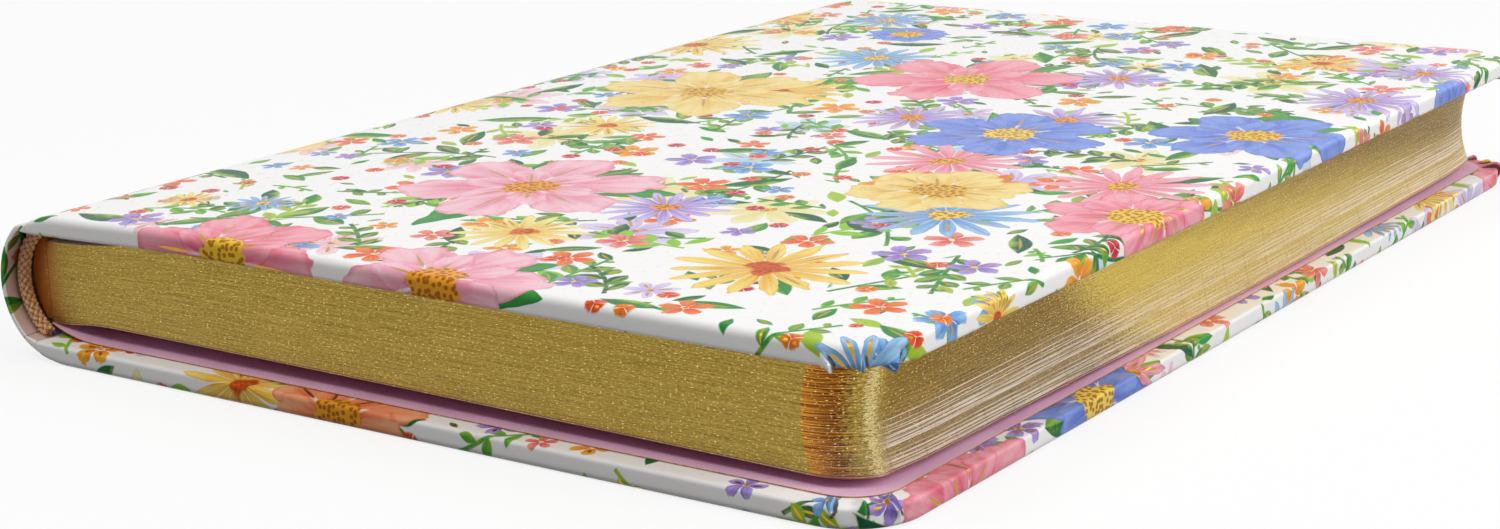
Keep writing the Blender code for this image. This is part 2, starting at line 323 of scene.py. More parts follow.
def leaf_stack(name, leaves, looks):
    """Leaves as thin slabs. Each has its two heights, its stations, how far it settles as a share of the
    block's leaves, and how bare of gold its fore-edge is."""
    points, faces, slots, uv = [], [], [], []
    marks = {"corner": [], "bare": []}
    wide = ACROSS_STEPS + 1
    for z0, z1, stations, slack, bare in leaves:
        first = len(points)
        runs = [0.0]
        for (x0, h0, _), (x1, h1, _) in zip(stations, stations[1:]):
            runs.append(runs[-1] + math.dist((x0, h0), (x1, h1)))
        last_x, last_h, _ = stations[-1]
        middle = runs[-1] + last_h
        for z in (z0, z1):
            for (x, h, share), run in zip(stations, runs):
                for j in range(wide):
                    y = h * (2.0 * j / ACROSS_STEPS - 1.0)
                    points.append((x, y, z - slack * settle(x, y, z)))
                    if x == last_x:
                        length = middle + y
                    else:
                        length = run if j == 0 else 2.0 * middle - run
                    uv.append((length / PRINT_UNIT, z / PRINT_UNIT))
                    marks["corner"].append(share)
                    marks["bare"].append(bare if share > 1.0 else 0.0)
        layer = wide * len(stations)
        for i in range(len(stations) - 1):
            for j in range(ACROSS_STEPS):
                a = first + i * wide + j
                faces.append((a, a + 1, a + wide + 1, a + wide))
                faces.append(tuple(layer + k for k in (a, a + wide, a + wide + 1, a + 1)))
                slots += [1, 1]
        tail = [first + i * wide for i in range(len(stations))]
        fore = [tail[-1] + j for j in range(wide)]
        head = [i + ACROSS_STEPS for i in tail[::-1]]
        fold = [first + j for j in range(ACROSS_STEPS, -1, -1)]
        for edge in (tail, fore, head, fold):
            for a, b in zip(edge, edge[1:]):
                faces.append((a, b, layer + b, layer + a))
                slots.append(0)
    return shape(name, points, faces, looks, slots, uv, "edge", marks, 12.0)


gold_edge = gilt_edge()
page = ruled_paper()
trim = random.Random(7)
pitch = (block_t + SWELL) / (SECTIONS * LEAVES)
for number in range(1, SECTIONS + 1):
    section = f"section_{number:02d}"
    low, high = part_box(section)
    leaves = []
    for i in range(LEAVES):
        z0 = low.z + i * pitch
        z1 = z0 + pitch - LEAF_AIR
        step = trim.uniform(-TRIM_STEP, 0.0)
        stations = page_stations(low.x, fore_edge(0.5 * (z0 + z1)) + step, high.y + step)
        depth = (block_high.z - z0) / block_t
        bare = 1.0 if trim.random() < BARE_CHANCE * max(0.0, depth - BARE_FROM) else 0.0
        leaves.append((z0, z1, stations, 1.0, bare))
    stack = leaf_stack(section + "_leaves", leaves, [gold_edge, page])
    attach(stack, section)
    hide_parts(section)

# Back of the block: the sections' folds glued into one bar, with linen thread sewn over them and an open
# cotton lining, the mull, glued on top. The folds are soft ribs, and glue has yellowed between them.
ROUND_DEPTH = 11.8 * MM
FOLD_RIB = 0.16 * MM
LINER_GAP = 0.06 * MM
RIB_STEPS = 8
THREAD_TWIST = 0.8 * MM
MULL_PITCH = 0.9 * MM
back_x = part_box("spine_cover_paper")[0].x
round_x = back_x + ROUND_DEPTH
round_h = 0.5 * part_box("front_cover_paper")[1].z


def round_point(turn, inset=0.0):
    """A point of the rounded back in X and Z, by its angle above the middle and its depth inside."""
    x = round_x - (ROUND_DEPTH - inset) * math.cos(turn)
    return Vector((x, round_h + (round_h - inset) * math.sin(turn)))


def glued_folds():
    """Paper folds brushed with bookbinder's glue: cream ribs with amber, half-glossy glue in the valleys."""
    made, add = surface("glued_paper_folds")
    place = add("TexCoord").outputs["Object"]
    brushed = add("Mapping", place, None, None, (1.5 / MM, 0.15 / MM, 1.5 / MM))
    brushed = add("TexNoise", brushed, 1.0, 4.0, 0.6)
    valley = add("Attribute", attribute_name="valley").outputs["Fac"]
    glue = add("Math MULTIPLY_ADD", brushed, 0.6, valley)
    colour = add("ValToRGB", glue, stops=[(0.25, "#EFE6D3"), (0.7, "#D6BD8A"), (1.0, "#9A7440")])
    rough = add("MapRange", glue, 0.3, 1.0, 0.75, 0.35)
    relief = add("Bump", 0.3, 0.05 * MM, None, brushed)
    return coat(made, {"Base Color": colour, "Roughness": rough, "Normal": relief})


def linen_thread():
    """Waxed linen thread: pale, with a twist that shows as fine slanting ridges."""
    made, add = surface("waxed_linen_thread")
    place = add("TexCoord").outputs["Object"]
    twist = add("TexWave", place, 1.0 / THREAD_TWIST, 1.0, 2.0, 1.0, bands_direction="DIAGONAL")
    colour = add("Mix RGBA", twist, "#CBBF9F", "#F2EBD9")
    relief = add("Bump", 0.4, 0.05 * MM, None, twist)
    return coat(made, {"Base Color": colour, "Roughness": 0.6, "Normal": relief})


def cotton_mull():
    """Open cotton weave set in glue: two crossing sets of round threads with amber glue between them."""
    made, add = surface("glued_cotton_mull")
    place = add("SeparateXYZ", add("TexCoord").outputs["Object"]).outputs
    threads = []
    for way in ("Y", "Z"):
        turn = add("Math MULTIPLY", place[way], 2.0 * math.pi / MULL_PITCH)
        threads.append(add("MapRange", add("Math SINE", turn), -0.2, 0.9, 0.0, 1.0))
    cloth = add("Math MAXIMUM", *threads)
    colour = add("Mix RGBA", cloth, "#B99A63", "#EFE7D4")
    rough = add("MapRange", cloth, 0.0, 1.0, 0.4, 0.85)
    relief = add("Bump", 0.6, 0.12 * MM, None, cloth)
    return coat(made, {"Base Color": colour, "Roughness": rough, "Normal": relief})


low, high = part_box("glued_folds")
fold_inset = low.x - back_x
fold_reach = math.acos((round_x - high.x) / (ROUND_DEPTH - fold_inset))
leaf_x = block_low.x - LINER_GAP
points, uv, valleys = [], [], []
for y in (low.y, high.y):
    for i in range(SECTIONS * RIB_STEPS + 1):
        share = i / (SECTIONS * RIB_STEPS)
        valley = 1.0 - abs(math.sin(math.pi * SECTIONS * share))
        x, z = round_point(fold_reach * (1.0 - 2.0 * share), fold_inset + FOLD_RIB * valley)
        points.append((x if 0 < i < SECTIONS * RIB_STEPS else leaf_x, y, z))
        uv.append((x / PRINT_UNIT, z / PRINT_UNIT))
        valleys.append(valley)
count = len(points) // 2
faces = [(i, count + i, count + (i + 1) % count, (i + 1) % count) for i in range(count)]
faces += [tuple(range(count)), tuple(range(2 * count - 1, count - 1, -1))]
slots = [0] * (count - 1) + [1, 1, 1]
folds = shape("sewn_folds", points, faces, [glued_folds(), gold_edge], slots, uv, "edge", {"valley": valleys})
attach(folds, "spine")
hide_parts("glued_folds")
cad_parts["sewing_thread"].material_slots[0].material = linen_thread()
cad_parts["mull"].material_slots[0].material = cotton_mull()

# Head and tail bands: braided cotton cord glued across each end of the block's back, inside the spine.
# Strands cross over and under each other round a soft core, and the cut lower end has opened a little.
STRANDS = 5  # each way round
STRAND_D = 0.54 * MM
BRAID_LAY = 6.6 * MM
BRAID_PULL = 0.86  # how far the pulled braid has narrowed, as a share of the loose cord
BRAID_WEAVE = 0.11 * MM
BRAID_STEPS = 120
STRAND_SIDES = 7
BAND_REACH = math.radians(54.4)
FRAY_LENGTH = 2.0 * MM
FRAY = 0.22
CORE_TIP = 0.3  # size of the core's hidden ends, as a share of the core
CORE_ROW = 20.0  # the core's place in the strands' UV map, away from theirs


def cotton_cord():
    """Braided cotton: tan, with fine fibres along each strand. Light is painted on the strands that lie on
    top, and shade on those that pass under and on the core.
    """
    made, add = surface("braided_cotton_cord")
    strand = add("UVMap", uv_map="strand")
    fibre = add("Mapping", strand, None, None, (0.6 * PRINT_UNIT / MM, 9.0, 1.0))
    fibre = add("TexNoise", fibre, 1.0, 3.0, 0.6, noise_dimensions="2D")
    # painted light on strands that lie on top, painted shade where they pass under and on the core
    top = add("Attribute", attribute_name="top").outputs["Fac"]
    tone = add("Math MULTIPLY_ADD", fibre, 0.7, add("Math MULTIPLY", top, 0.5))
    colour = add("ValToRGB", tone, stops=[(0.2, "#8A4A1C"), (0.55, "#D08C50"), (0.85, "#F0C598")])
    relief = add("Bump", 0.5, 0.06 * MM, None, fibre)
    return coat(made, {"Base Color": colour, "Roughness": 0.85, "Sheen Weight": 0.3, "Normal": relief})


def braid(name, low, high, look):
    """A braid round the path of a band: strands both ways, and the core that fills them."""
    thick = BRAID_PULL * (high.y - low.y)
    inset = low.x - back_x + 0.5 * thick
    centre_y = 0.5 * (low.y + high.y)
    centres, normals, runs = [], [], [0.0]
    for i in range(BRAID_STEPS + 1):
        turn = BAND_REACH * (1.0 - 2.0 * i / BRAID_STEPS)
        x, z = round_point(turn, inset)
        centres.append(Vector((x, centre_y, z)))
        out = Vector((-math.cos(turn) / (ROUND_DEPTH - inset), 0.0, math.sin(turn) / (round_h - inset)))
        normals.append(out.normalized())
        if i:
            runs.append(runs[-1] + (centres[i] - centres[i - 1]).length)
    across = Vector((0.0, 1.0, 0.0))
    loose = random.Random(3)
    points, faces, uv, painted_strand_light = [], [], [], []

    def tube(path, outs, radii, tone, row):
        """One strand or the core, along its path."""
        first = len(points)
        for i, (place, out, radius) in enumerate(zip(path, outs, radii)):
            ahead = path[min(i + 1, len(path) - 1)] - path[max(i - 1, 0)]
            beside = ahead.normalized().cross(out).normalized()
            for j in range(STRAND_SIDES):
                turn = 2.0 * math.pi * j / STRAND_SIDES
                points.append(place + radius * (math.cos(turn) * out + math.sin(turn) * beside))
                uv.append((runs[i] / PRINT_UNIT, row + j / STRAND_SIDES))
                painted_strand_light.append(tone[i])
        for i in range(len(path) - 1):
            for j in range(STRAND_SIDES):
                a = first + i * STRAND_SIDES
                k = (j + 1) % STRAND_SIDES
                faces.append((a + j, a + k, a + STRAND_SIDES + k, a + STRAND_SIDES + j))
        faces.append(tuple(range(first + STRAND_SIDES - 1, first - 1, -1)))
        faces.append(tuple(range(len(points) - STRAND_SIDES, len(points))))

    for way in (-1.0, 1.0):
        for strand in range(STRANDS):
            path, outs, tone = [], [], []
            spread = loose.uniform(0.2, 1.0)
            for centre, normal, run in zip(centres, normals, runs):
                swing = 2.0 * math.pi * run / BRAID_LAY
                turn = way * swing + 2.0 * math.pi * strand / STRANDS
                over = way * math.cos(STRANDS * swing)
                opened = max(0.0, 1.0 - (runs[-1] - run) / FRAY_LENGTH) ** 2
                radius = 0.5 * (thick - STRAND_D) + BRAID_WEAVE * (over - 1.0)
                radius *= 1.0 + FRAY * spread * opened
                out = math.cos(turn) * normal + math.sin(turn) * across
                path.append(centre + radius * out)
                outs.append(out)
                # painted light: 1 where the strand lies on top, 0 where it passes under
                tone.append(0.5 + 0.5 * over)
            tube(path, outs, [0.5 * STRAND_D] * len(path), tone, strand + way)
    core = [0.5 * thick - STRAND_D] * len(centres)
    core[0] *= CORE_TIP
    core[-1] *= CORE_TIP
    # the core gets the full painted shade
    tube(centres, normals, core, [0.0] * len(centres), CORE_ROW)
    return shape(name, points, faces, [look], None, uv, "strand", {"top": painted_strand_light}, 60.0)


cord = cotton_cord()
for end in ("head", "tail"):
    band = braid(end + "_braid", *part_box(end + "_band"), cord)
    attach(band, "spine")
    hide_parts(end + "_band")

# Free endpapers: a lilac leaf on each side of the block, sewn in, cut and gilt along with it.
# The same dyed paper is glued inside the covers further on.
FLY_SLACK = {"front": 0.72, "back": 1.0}  # how much of the block's settling an endpaper follows


def dyed_endpaper():
    """Uncoated paper dyed in the pulp: an even lilac pink with faint clouds and a fine fibre."""
    made, add = surface("dyed_endpaper")
    place = add("TexCoord").outputs["Object"]
    cloud = add("TexNoise", place, 0.12 / MM, 2.0, 0.5)
    fibre = add("TexNoise", place, 2.5 / MM, 3.0, 0.6)
    tone = add("Math MULTIPLY_ADD", fibre, 0.35, add("Math MULTIPLY", cloud, 0.65))
    colour = add("ValToRGB", tone, stops=[(0.3, "#DFAFC9"), (0.7, "#EDC5DB")])
    relief = add("Bump", 0.2, 0.03 * MM, None, fibre)
    return coat(made, {"Base Color": colour, "Roughness": 0.8, "Normal": relief})


endpaper = dyed_endpaper()
for side in ("front", "back"):
    low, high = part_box(side + "_flyleaf")
    leaf = (low.z, high.z, page_stations(low.x, high.x, high.y), FLY_SLACK[side], 0.0)
    sheet = leaf_stack(side + "_flyleaf_sheet", [leaf], [gold_edge, endpaper])
    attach(sheet, side + "_flyleaf")
    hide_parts(side + "_flyleaf")

# Boards and spine card: grey pulp board in each cover and a thin card bent to the round of the spine.
# They are pressed from waste paper, so they are grey brown with light and dark fibres. The front board has
# warped a little: its joint draws the spine edge down, most at the tail.
DRAWN_FROM = -36.0 * MM  # the X from which the front cover is drawn down
DRAWN_TAIL = 0.8 * MM
DRAWN_HEAD = 0.2 * MM
BOARD_EASE = 0.4 * MM  # how far the board's softened edges lie inside its box
BOARD_CORNER = 9.0 * MM
SHEET_STEPS = 16
ARC_STEPS = 12
board_low, board_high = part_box("front_board")


def drawn_down(x, y):
    """How far the front cover is drawn down by its joint."""
    near = min(1.0, max(0.0, (DRAWN_FROM - x) / (DRAWN_FROM - board_low.x)))
    tail = 0.5 - 0.5 * y / board_high.y
    return (DRAWN_HEAD + (DRAWN_TAIL - DRAWN_HEAD) * tail) * eased(near)


def flat(x, y):
    """No warp at all."""
    return 0.0


def cut_sheet(name, low, high, corner, rise, looks, warp=flat):
    """A sheet or board with two round corners, as stations from its spine edge to its fore-edge. Rise holds
    the first of them: X, the heights of its two faces, and half the length there."""
    stations = list(rise)
    from_x = rise[-1][0]
    to_x = high.x - corner
    for i in range(1, SHEET_STEPS + 1):
        stations.append((from_x + (to_x - from_x) * i / SHEET_STEPS, low.z, high.z, high.y))
    for i in range(1, ARC_STEPS + 1):
        turn = 0.5 * math.pi * i / ARC_STEPS
        reach = high.y - corner * (1.0 - math.cos(turn))
        stations.append((to_x + corner * math.sin(turn), low.z, high.z, reach))
    points = []
    for x, under, over, reach in stations:
        for y in (-reach, reach):
            points += [(x, y, under - warp(x, y)), (x, y, over - warp(x, y))]
    faces, slots = [], []
    for a in range(0, len(points) - 4, 4):
        b = a + 4
        faces += [(a + 1, b + 1, b + 3, a + 3), (a, a + 2, b + 2, b)]
        faces += [(a, b, b + 1, a + 1), (a + 2, a + 3, b + 3, b + 2)]
        slots += [0, 0, 1, 1]
    faces += [(0, 1, 3, 2), (b, b + 2, b + 3, b + 1)]
    slots += [1, 1]
    return shape(name, points, faces, looks, slots)


def pulp_board(name, dark, light):
    """Pressed pulp board: dull, with short fibres of other papers in it."""
    made, add = surface(name)
    place = add("TexCoord").outputs["Object"]
    fibre = add("TexNoise", place, 1.2 / MM, 5.0, 0.7, 2.0, 0.6)
    colour = add("ValToRGB", fibre, stops=[(0.35, dark), (0.65, light)])
    relief = add("Bump", 0.3, 0.05 * MM, None, fibre)
    return coat(made, {"Base Color": colour, "Roughness": 0.9, "Normal": relief})


board = pulp_board("pressed_grey_board", "#8D857A", "#B4ACA0")
card = pulp_board("pressed_spine_card", "#9A8468", "#C2AB8C")
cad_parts["back_board"].material_slots[0].material = board
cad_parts["spine_card"].material_slots[0].material = card
board_far = board_high - Vector((BOARD_EASE, BOARD_EASE, 0.0))
rise = []
for i in range(ARC_STEPS + 1):
    x = board_low.x + (round_x - board_low.x) * i / ARC_STEPS
    turn = math.acos((round_x - x) / ROUND_DEPTH)
    rise.append((x, board_low.z, round_point(turn).y - (2.0 * round_h - board_high.z), board_far.y))
warped = cut_sheet("front_warped_board", board_low, board_far, BOARD_CORNER, rise, [board, board], drawn_down)
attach(warped, "front_cover")
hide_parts("front_board")

# Case paper: printed, gloss-laminated paper glued over both boards and the spine and turned in at their
# edges. It is one sheet on the real case; here it is cut where the case bends, and drawn on unbroken.
PAPER = 0.15 * MM
COVER_CORNER = 9.5 * MM
OUTER_R = 1.0 * MM
INNER_R = 0.5 * MM
OUTER_STEPS = 7
WALL_STEPS = 4
INNER_STEPS = 5
OUTSIDE_RINGS = (9.0 * MM, 5.0 * MM, 2.5 * MM, 1.5 * MM)  # insets on a cover's outside
# insets on its inside, each with the height of the pleats there, as a share
TURN_IN_RINGS = ((1.0 * MM, 0.9), (1.7 * MM, 0.7), (2.4 * MM, 0.35), (3.0 * MM, 0.0), (9.0 * MM, 0.0))
SPINE_WALL = 0.8 * MM
SPINE_EDGE = 0.4  # rounding of the thin spine's ends, as a share of a cover's
SPINE_TURN_IN = 3.6 * MM
SPINE_STEPS = 60
JOINT_STEPS = 10
RISE_STEPS = 8
FLAT_RUNS = 20
BEND_STEPS = 120
PLEATS = 4
PLEAT_HEIGHT = 1.15 * MM
PLEAT_SHARES = (0.0, 1.0, 0.6, 1.0, 0.3)  # how hard each fold was pinched
PLEAT_SPREAD = 0.2  # how much the folds spread apart on their way, as a share
PLEAT_CURVE = 1.5
PLEAT_SHIFT = 0.15  # the rest in shares of one fold: its start, where it rises, its top, and half the width of the painted shade at a crease
PLEAT_RISE = 0.45
PLEAT_TOP = 0.9
PLEAT_CREASE = 0.09
STRAY = 0.8  # how far the print's motifs stray from an even spacing, as a share
cover_low, cover_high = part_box("front_cover_paper")
cover_t = cover_high.z - cover_low.z
thick = cover_high.z
half = cover_high.y
fore_x = cover_high.x
cover_turn = math.acos((round_x - cover_low.x) / ROUND_DEPTH)
spine_turn = math.acos((round_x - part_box("spine_cover_paper")[1].x) / ROUND_DEPTH)


def round_run(turn, steps=60):
    """Length of the rounded back's outside from its top down to an angle."""
    turns = [0.5 * math.pi + (turn - 0.5 * math.pi) * i / steps for i in range(steps + 1)]
    return sum((round_point(a) - round_point(b)).length for a, b in zip(turns, turns[1:]))


def edge_levels():
    """The paper's way round an edge: inset, depth, run, how far it faces out and in, and its pleat share."""
    levels = [(inset, 0.0, OUTER_R - inset, 0.0, -1.0, 0.0) for inset in OUTSIDE_RINGS]
    for i in range(OUTER_STEPS + 1):
        turn = 0.5 * math.pi * i / OUTER_STEPS
        out, up = math.sin(turn), math.cos(turn)
        levels.append((OUTER_R * (1.0 - out), OUTER_R * (1.0 - up), OUTER_R * turn, out, -up, 0.0))
    run = 0.5 * math.pi * OUTER_R
    wall = cover_t - OUTER_R - INNER_R
    for i in range(1, WALL_STEPS + 1):
        share = i / WALL_STEPS
        levels.append((0.0, OUTER_R + share * wall, run + share * wall, 1.0, 0.0, share))
    run += wall
    for i in range(1, INNER_STEPS + 1):
        turn = 0.5 * math.pi * i / INNER_STEPS
        out, down = math.cos(turn), math.sin(turn)
        depth = cover_t - INNER_R * (1.0 - down)
        levels.append((INNER_R * (1.0 - out), depth, run + INNER_R * turn, out, down, 1.0))
    run += 0.5 * math.pi * INNER_R - INNER_R
    return levels + [(inset, cover_t, run + inset, 0.0, 1.0, lift) for inset, lift in TURN_IN_RINGS]


def pleat(share, lift):
    """Height of the gathered paper along a corner, and how much painted shade its crease gets there. Its
    folds are narrow, spread apart towards the outside, and each drops at a crease."""
    spread = 1.0 - PLEAT_SPREAD + PLEAT_SPREAD * lift
    step = (0.5 + (share - 0.5) * spread) * PLEATS + PLEAT_SHIFT
    part = step - math.floor(step)
    if part < PLEAT_TOP:
        rise = max(0.0, (part - PLEAT_RISE) / (PLEAT_TOP - PLEAT_RISE)) ** PLEAT_CURVE
    else:
        rise = (1.0 - part) / (1.0 - PLEAT_TOP)
    dark = max(0.0, 1.0 - min(part, 1.0 - part) / PLEAT_CREASE)
    pinch = PLEAT_SHARES[round(step)] * math.sqrt(max(0.0, math.sin(math.pi * share)))
    return PLEAT_HEIGHT * lift * pinch * rise, min(1.0, 2.0 * lift) * pinch * dark


def skin(thing):
    """Gives drawn paper its thickness, inwards."""
    solid = thing.modifiers.new("paper", "SOLIDIFY")
    solid.thickness = PAPER
    solid.offset = -1.0
    return thing


def cover_paper(name, front, look):
    """A cover's paper as rings from the middle of its outside, round its edge, to its turn-in."""
    tail = []
    for i in range(RISE_STEPS + 1):
        turn = cover_turn + (0.5 * math.pi - cover_turn) * i / RISE_STEPS
        x, z = round_point(turn)
        tail.append((x, z, round_x - round_run(turn)))
    flat_end = fore_x - COVER_CORNER
    for i in range(1, FLAT_RUNS + 1):
        x = round_x + (flat_end - round_x) * i / FLAT_RUNS
        tail.append((x, thick, x))
    middle = round_x - round_run(0.0)
    points, uv, faces, painted_crease_shades = [], [], [], []
    for inset, depth, run, out, inward, lift in edge_levels():
        ring = []
        for side in (-1.0, 1.0):
            row = []
            for x, z, drawn in tail:
                drop = depth * (z - cover_low.z) / cover_t
                spot = (x, side * (half - inset), z - drop)
                row.append((spot, (drawn, side * (half - OUTER_R + run)), 0.0))
            for i in range(1, BEND_STEPS + 1):
                share = i / BEND_STEPS
                turn = 0.5 * math.pi * (1.0 - share)
                # the fold's height, and the painted shade at its crease
                swell, fold = pleat(share, lift)
                radius = COVER_CORNER - inset + out * swell
                far = COVER_CORNER - OUTER_R + run
                spot = (flat_end + radius * math.cos(turn),
                        side * (half - COVER_CORNER + radius * math.sin(turn)),
                        thick - depth - max(0.0, inward) * swell)
                drawn = (flat_end + far * math.cos(turn), side * (half - COVER_CORNER + far * math.sin(turn)))
                row.append((spot, drawn, fold))
            ring += row if side < 0.0 else row[::-1]
        for (x, y, z), (u, v), fold in ring:
            painted_crease_shades.append(fold)
            points.append((x, y, z - drawn_down(x, y) if front else thick - z))
            uv.append(((u if front else 2.0 * middle - u) / PRINT_UNIT, v / PRINT_UNIT))
    count = len(ring)
    for j in range(len(points) // count - 1):
        for i in range(count - 1):
            a, b = j * count + i, (j + 1) * count + i
            faces.append((a, b, b + 1, a + 1))
    for i in range(count // 2 - 1):
        faces.append((i, i + 1, count - 2 - i, count - 1 - i))
    if not front:
        faces = [face[::-1] for face in faces]
    return skin(shape(name, points, faces, [look], None, uv, "paper", {"gather": painted_crease_shades}))


def round_paper(name, first, last, steps, look):
    """The paper of the rounded back between two angles, turned in at the head and tail."""
    levels = edge_levels()
    points, uv, faces, painted_inside_shades = [], [], [], []
    for j in range(steps + 1):
        turn = first + (last - first) * j / steps
        sign = 1.0 if turn > 0.0 else -1.0
        ends = min(abs(turn), spine_turn)
        outside = round_point(turn)
        edge = round_point(sign * ends)
        normal = Vector((-math.cos(ends) / ROUND_DEPTH, sign * math.sin(ends) / round_h)).normalized()
        share = max(0.0, (abs(turn) - spine_turn) / (cover_turn - spine_turn))
        at_board = Vector((cover_low.x, cover_low.z if sign > 0.0 else thick - cover_low.z))
        inside = (edge - SPINE_WALL * normal).lerp(at_board, share)
        scale = SPINE_EDGE + (1.0 - SPINE_EDGE) * eased(share)
        drawn = round_x - round_run(turn)
        for side in (-1.0, 1.0):
            for inset, depth, run, *_ in (levels[::-1] if side < 0.0 else levels):
                # painted shade on the inside face of the turn-ins
                painted_inside_shades.append(1.0 if depth == cover_t else 0.0)
                x, z = outside.lerp(inside, depth / cover_t)
                set_in = inset * scale if depth < OUTER_R else min(inset * scale, SPINE_TURN_IN)
                y = side * (half - set_in)
                points.append((x, y, z - share * drawn_down(cover_low.x, y) if sign > 0.0 else z))
                uv.append((drawn / PRINT_UNIT, side * (half - (OUTER_R - run) * scale) / PRINT_UNIT))
    count = 2 * len(levels)
    for j in range(steps):
        for i in range(count - 1):
            a, b = j * count + i, (j + 1) * count + i
            faces.append((a, a + 1, b + 1, b))
    return skin(shape(name, points, faces, [look], None, uv, "paper", {"stain": painted_inside_shades}))


def scatter(add, paper, spacing, seed, left_out):
    """Scattered places in millimetres: where a point is, its way from the nearest place, three dice for that
    place, the room round it, and whether it is drawn."""
    spot = add("VectorMath ADD", paper, (37.3 * seed, 91.7 * seed, 0.0))
    cell = add("TexVoronoi", spot, 1.0 / spacing, 0.0, 0.5, 2.0, STRAY, voronoi_dimensions="2D", feature="F1")
    room = add("TexVoronoi", spot, 1.0 / spacing, STRAY, voronoi_dimensions="2D", feature="N_SPHERE_RADIUS")
    room = add("Math MULTIPLY", room, 0.97 * spacing)
    away = add("VectorMath SUBTRACT", spot, cell.outputs["Position"])
    dice = add("SeparateColor", cell.outputs["Color"]).outputs
    return spot, away, dice, room, add("Math GREATER_THAN", dice["Green"], left_out)


def tints(colours):
    """Ramp stops that give a die one of several colours."""
    return [(i / len(colours), colour) for i, colour in enumerate(colours)]


def foil_stroke(add, along, middle, reach, across, width):
    """A stroke of foil, widest in its middle and drawn out to a point at both ends."""
    bow = add("Math POWER", add("Math SUBTRACT", along, middle), 2.0)
    bow = add("Math MULTIPLY_ADD", bow, -width / reach ** 2, width)
    inside = add("Math SUBTRACT", bow, across)
    return add("MapRange", inside, 0.0, 0.4 * width, 0.0, 1.0)


def lay(add, under, mask, ink, stroke):
    """Lays a motif over the ink and foil drawn already: it hides the foil below and adds its own strokes."""
    drawn, foil = under
    stroke = add("Math MULTIPLY", stroke, mask)
    clear = add("Math SUBTRACT", 1.0, mask)
    return add("Mix RGBA", mask, drawn, ink), add("Math MULTIPLY_ADD", foil, clear, stroke)


def bloom(add, paper, under, spacing, seed, reach, petals, waist, blunt, outer, inner, eyes,
          left_out=0.0, ragged=0.0, eye=0.2, spin=0.0, stretch=1.0):
    """Draws one kind of flower, or tuft, over what is drawn already, with foil strokes on some petals."""
    spot, away, dice, room, kept = scatter(add, paper, spacing, seed, left_out)
    radius = add("Math MINIMUM", add("Math MULTIPLY", room, stretch), reach)
    across = add("SeparateXYZ", away).outputs
    angle = add("Math ARCTAN2", across["Y"], across["X"])
    start = add("Math ADD", dice["Red"], spin)
    turn = add("Math MULTIPLY_ADD", angle, petals / (2.0 * math.pi), start)
    wedge = add("Math SUBTRACT", add("Math FRACT", turn), 0.5)
    wedge = add("Math ABSOLUTE", wedge)
    petal = add("Math FLOORED_MODULO", add("Math FLOOR", turn), petals)
    petal = add("CombineXYZ", petal, dice["Green"])
    chance = add("TexWhiteNoise", petal, noise_dimensions="2D")
    length = add("VectorMath LENGTH", away)
    wobble = add("TexNoise", spot, 4.0 / reach, 2.0, 0.5, noise_dimensions="2D")
    wobble = add("Math MULTIPLY_ADD", wobble, 0.3, -0.15)
    far = add("Math ADD", add("Math DIVIDE", length, radius), wobble)
    side = add("Math MULTIPLY", wedge, 2.0)
    edge = add("Math POWER", side, blunt)
    edge = add("Math MULTIPLY_ADD", edge, waist - 0.9, 0.9)
    edge = add("Math MULTIPLY", edge, add("Math MULTIPLY_ADD", chance, -ragged, 1.0))
    over = add("Math SUBTRACT", edge, far)
    mask = add("MapRange", over, 0.0, 0.3 / reach, 0.0, 1.0)
    mask = add("Math MULTIPLY", mask, kept)

    # ink: washed from the heart to the tips, with pale gaps between petals and a dotted eye
    fan = add("CombineXYZ", add("Math MULTIPLY", turn, 4.0), far)
    streak = add("TexNoise", fan, 1.3, 3.0, 0.6, noise_dimensions="2D")
    blend = add("Math MULTIPLY_ADD", streak, 1.5, -0.75)
    blend = add("Math ADD", add("Math MULTIPLY", far, 1.2), blend)
    lip = add("MapRange", over, 0.0, 0.07, 0.7, 0.0)
    blend = add("Math SUBTRACT", blend, lip, use_clamp=True)
    inks = []
    for colours in (inner, outer, eyes):
        inks.append(add("ValToRGB", dice["Blue"], stops=tints(colours), blending="CONSTANT"))
    ink = add("Mix RGBA", blend, inks[0], inks[1])
    gap = add("MapRange", side, 0.86, 0.97, 0.0, 0.8)
    ink = add("Mix RGBA", gap, ink, "#FBF7F4")
    dots = add("TexVoronoi", spot, 1.1, 0.0, 0.5, 2.0, 0.8, voronoi_dimensions="2D", feature="F1")
    dots = add("MapRange", dots, 0.42, 0.3, 0.0, 0.8)
    pollen = add("Mix RGBA", dots, inks[2], "#9C4A16")
    middle = add("MapRange", far, eye, eye - 0.04, 0.0, 1.0)
    ink = add("Mix RGBA", middle, ink, pollen)

    # foil along the middle of some petals
    width = add("Math MULTIPLY", wedge, length)
    stroke = foil_stroke(add, far, 0.46, 0.22, width, 0.3 * petals / (2.0 * math.pi))
    stroke = add("Math MULTIPLY", stroke, add("Math GREATER_THAN", chance, 0.55))
    return lay(add, under, mask, ink, stroke)


def leaf_axes(add, away, dice, curl):
    """A leaf or stem turned and curled by its dice: the way along it, and the way off its middle line."""
    angle = add("Math MULTIPLY", dice["Red"], 2.0 * math.pi)
    place = add("VectorRotate", away, None, angle, rotation_type="Z_AXIS")
    place = add("SeparateXYZ", place).outputs
    bend = add("Math MULTIPLY_ADD", dice["Blue"], 2.0 * curl, -curl)
    bend = add("Math MULTIPLY", bend, add("Math POWER", place["X"], 2.0))
    return place["X"], add("Math SUBTRACT", place["Y"], bend)


def leaf_mask(add, grown, size, slim, offset):
    """Where a pointed leaf is, from the share of its length, its size and the way off its rib."""
    wide = add("Math SINE", add("Math MULTIPLY", grown, math.pi))
    wide = add("Math MULTIPLY", add("Math COMPARE", grown, 0.5, 0.5), wide)
    wide = add("Math MULTIPLY", wide, add("Math MULTIPLY", size, slim))
    return add("MapRange", add("Math SUBTRACT", wide, offset), 0.0, 0.2, 0.0, 1.0)


